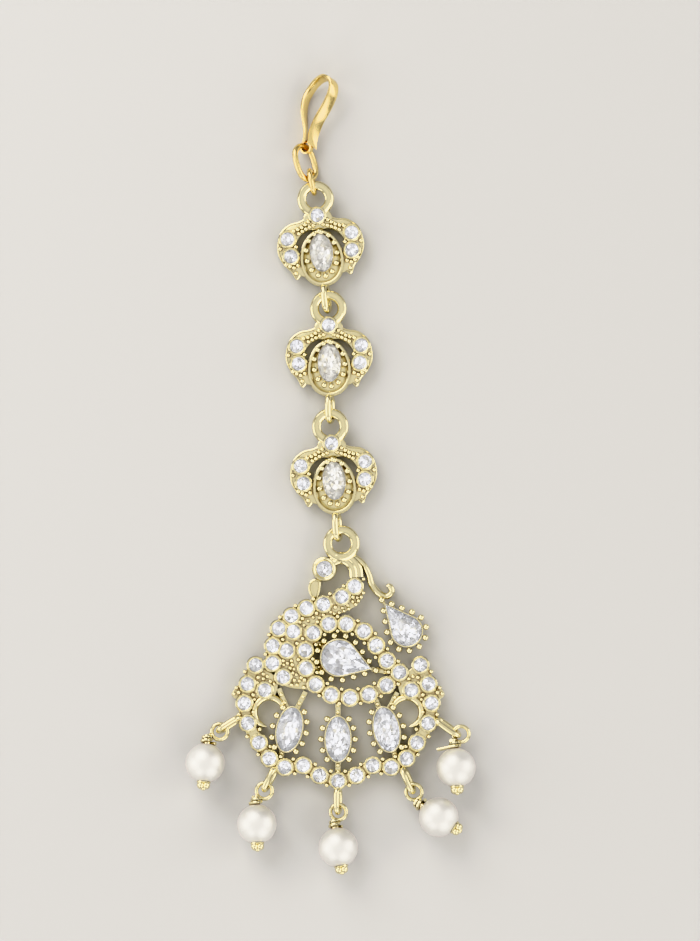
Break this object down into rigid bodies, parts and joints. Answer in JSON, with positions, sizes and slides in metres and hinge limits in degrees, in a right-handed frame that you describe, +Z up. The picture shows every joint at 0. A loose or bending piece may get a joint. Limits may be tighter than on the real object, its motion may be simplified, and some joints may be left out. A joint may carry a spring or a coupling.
{
  "type": "maang tikka forehead ornament",
  "caption": "Forehead ornament: a hair hook, a short chain of stone-set links, and a pierced peacock pendant with pearl drops.",
  "frame": {"origin": "centre of the footprint, on the surface that the ornament lies on", "axes": "+Y along the chain towards the hair hook, +X to the viewer's right with the hook at the top, +Z up out of the face"},
  "size_m": [0.0376, 0.1042, 0.0051],
  "materials": {
    "champagne_gold": "pale gold plating on cast brass, polished, with a fine cast texture",
    "yellow_gold": "yellow gold plating on brass strip and wire, bright polished",
    "crystal": "faceted clear crystal, bright cut, silvered at the back",
    "pearl": "ivory imitation pearl coat, satin lustre"
  },
  "bodies": {
    "root": {"hair_hook": "yellow_gold", "jump_ring_1": "yellow_gold", "jump_ring_2": "yellow_gold", "link_1": "champagne_gold", "link_1_stone_centre": "crystal", "link_1_stone_top": "crystal", "link_1_stone_side_1": "crystal", "link_1_stone_side_2": "crystal", "link_1_stone_side_3": "crystal", "link_1_stone_side_4": "crystal", "link_2": "champagne_gold", "link_2_stone_centre": "crystal", "link_2_stone_top": "crystal", "link_2_stone_side_1": "crystal", "link_2_stone_side_2": "crystal", "link_2_stone_side_3": "crystal", "link_2_stone_side_4": "crystal", "link_3": "champagne_gold", "link_3_stone_centre": "crystal", "link_3_stone_top": "crystal", "link_3_stone_side_1": "crystal", "link_3_stone_side_2": "crystal", "link_3_stone_side_3": "crystal", "link_3_stone_side_4": "crystal", "pendant": "champagne_gold", "pendant_stone_body": "crystal", "pendant_stone_tail": "crystal", "pendant_stone_left": "crystal", "pendant_stone_middle": "crystal", "pendant_stone_right": "crystal", "pendant_stone_head": "crystal", "drop_wire_1": "champagne_gold", "pearl_1": "pearl", "drop_wire_2": "champagne_gold", "pearl_2": "pearl", "drop_wire_3": "champagne_gold", "pearl_3": "pearl", "drop_wire_4": "champagne_gold", "pearl_4": "pearl", "drop_wire_5": "champagne_gold", "pearl_5": "pearl"}
  },
  "joints": []
}
